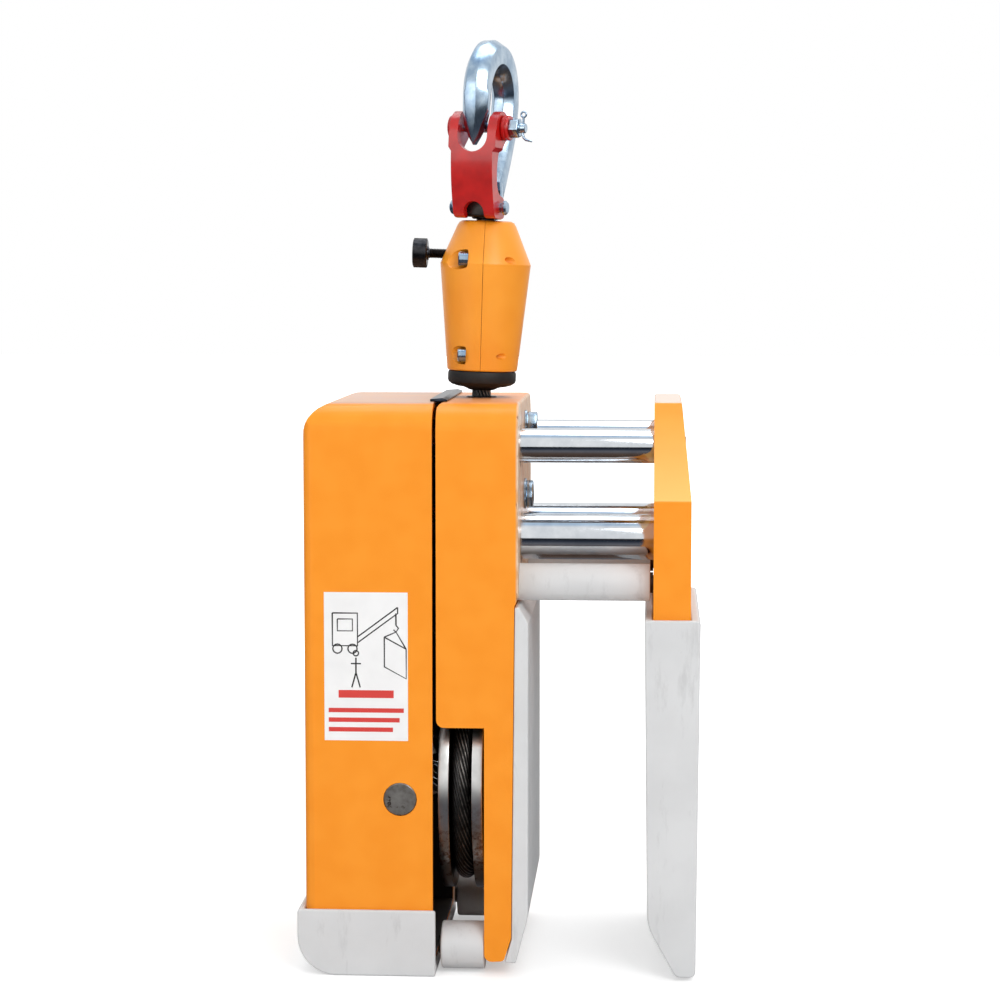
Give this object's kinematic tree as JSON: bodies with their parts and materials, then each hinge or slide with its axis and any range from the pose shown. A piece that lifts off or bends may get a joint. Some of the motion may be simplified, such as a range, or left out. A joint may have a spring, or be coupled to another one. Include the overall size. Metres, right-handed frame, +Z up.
{
  "type": "plate lifting clamp",
  "caption": "Vertical clamp for gripping plates between two padded jaws, closed by pulling a wire rope with a swivel hook; jaws slide on guide rods.",
  "frame": {"origin": "centre of the footprint, on the surface it stands on", "axes": "+Z up, along the rope's pull; +X from the rear casing towards the outer jaw; +Y towards the back, along the jaws' width"},
  "size_m": [0.3284, 0.22, 0.769],
  "materials": {
    "orange_paint": "glossy orange enamel over cast aluminium",
    "bell_paint": "satin orange enamel over cast aluminium",
    "red_paint": "glossy red enamel over forged steel",
    "pale_rubber": "moulded pale grey polyurethane rubber",
    "black_rubber": "moulded black rubber",
    "chrome": "hard chrome, ground",
    "zinc_plate": "bright blue-white zinc plate",
    "steel": "turned steel",
    "dark_steel": "oiled dark steel",
    "bronze": "machined bronze",
    "black_oxide": "black oxide",
    "wire_rope": "greased steel wire rope"
  },
  "bodies": {
    "housing": {"inner_jaw_housing": "orange_paint", "inner_pad": "pale_rubber", "rod_bush_lower_front": "bronze", "rod_bush_lower_rear": "bronze", "rod_bush_upper_front": "bronze", "rod_bush_upper_rear": "bronze", "side_plate": "steel", "housing_bolt_lower": "zinc_plate", "housing_bolt_upper": "zinc_plate", "bumper_sleeve_front": "pale_rubber", "bumper_sleeve_rear": "pale_rubber", "bumper_bolt_front": "dark_steel", "bumper_bolt_rear": "dark_steel", "gap_strap": "black_rubber", "rope_guide_bush": "black_oxide", "roller_pin": "steel", "spindle_bush": "bronze", "rope_run": "wire_rope"},
    "roller": {"guide_roller": "steel"},
    "drum": {"rope_drum": "steel", "screw_spindle": "chrome", "rope_wrap": "wire_rope"},
    "carriage": {"rear_casing": "orange_paint", "casing_boot": "pale_rubber", "guide_rod_lower_front": "chrome", "guide_rod_lower_rear": "chrome", "guide_rod_upper_front": "chrome", "guide_rod_upper_rear": "chrome", "jaw_screw_lower_front": "dark_steel", "jaw_screw_lower_rear": "dark_steel", "jaw_screw_upper_front": "dark_steel", "jaw_screw_upper_rear": "dark_steel", "guard_tube_front": "pale_rubber", "guard_tube_rear": "pale_rubber", "guard_core_front": "dark_steel", "guard_core_rear": "dark_steel", "outer_jaw_plate": "orange_paint", "outer_pad": "pale_rubber", "trunnion_nut": "bronze", "trunnion_pin_front": "dark_steel", "trunnion_pin_rear": "dark_steel", "return_spring": "steel"},
    "bell": {"bell_left": "bell_paint", "bell_right": "bell_paint", "bell_screw_lower": "zinc_plate", "bell_screw_upper": "zinc_plate", "rope_socket": "steel", "rubber_bumper": "black_rubber", "rope_fall": "wire_rope"},
    "pad": {"pressure_pad": "bronze"},
    "thumb": {"thumb_screw": "black_oxide"},
    "hook": {"hook": "zinc_plate", "swivel_nut": "steel", "pivot_pin": "zinc_plate"},
    "latch": {"latch": "red_paint", "lock_bolt": "zinc_plate", "lock_collar": "red_paint", "lock_nut": "zinc_plate", "split_pin": "zinc_plate"}
  },
  "joints": [
    {"name": "rope_lift", "type": "slide", "parent": "housing", "child": "bell", "axis": [0, 0, 1], "range_m": [0, 0.165]},
    {"name": "jaw_close", "type": "slide", "parent": "housing", "child": "carriage", "axis": [-1, 0, 0], "range_m": [0, 0.055], "deforming": ["return_spring"]},
    {"name": "drum_turn", "type": "hinge", "parent": "housing", "child": "drum", "pos_m": [-0.0331, 0, 0.1465], "axis": [1, 0, 0], "range_deg": [0, 118.93], "deforming": ["rope_wrap"]},
    {"name": "roller_turn", "type": "hinge", "parent": "housing", "child": "roller", "pos_m": [-0.0215, 0.02, 0.285], "axis": [-1, 0, 0], "range_deg": [0, 472.7]},
    {"name": "pad_advance", "type": "slide", "parent": "bell", "child": "pad", "axis": [0.9995, 0, -0.0332], "range_m": [0, 0.002]},
    {"name": "thumb_turn", "type": "hinge", "parent": "pad", "child": "thumb", "pos_m": [-0.0368, 0, 0.58987], "axis": [0.9995, 0, -0.0332], "range_deg": [0, 576.02]},
    {"name": "hook_swivel", "type": "hinge", "parent": "bell", "child": "hook", "pos_m": [-0.01687, 0, 0.61762], "axis": [0.0332, 0, 0.9995], "continuous": true},
    {"name": "latch_swing", "type": "hinge", "parent": "hook", "child": "latch", "pos_m": [-0.02119, -0.01634, 0.62857], "axis": [-0.9607, 0.2756, 0.0319], "range_deg": [0, 30], "stiffness_Nm_per_rad": 0.05, "springref_deg": -17.19}
  ],
  "couplings": [
    {"joint": "jaw_close", "follows": "rope_lift", "ratio": 0.33333},
    {"joint": "drum_turn", "follows": "rope_lift", "rad_per_m": 12.579},
    {"joint": "roller_turn", "follows": "rope_lift", "rad_per_m": 50},
    {"joint": "thumb_turn", "follows": "pad_advance", "rad_per_m": 5026.5}
  ]
}
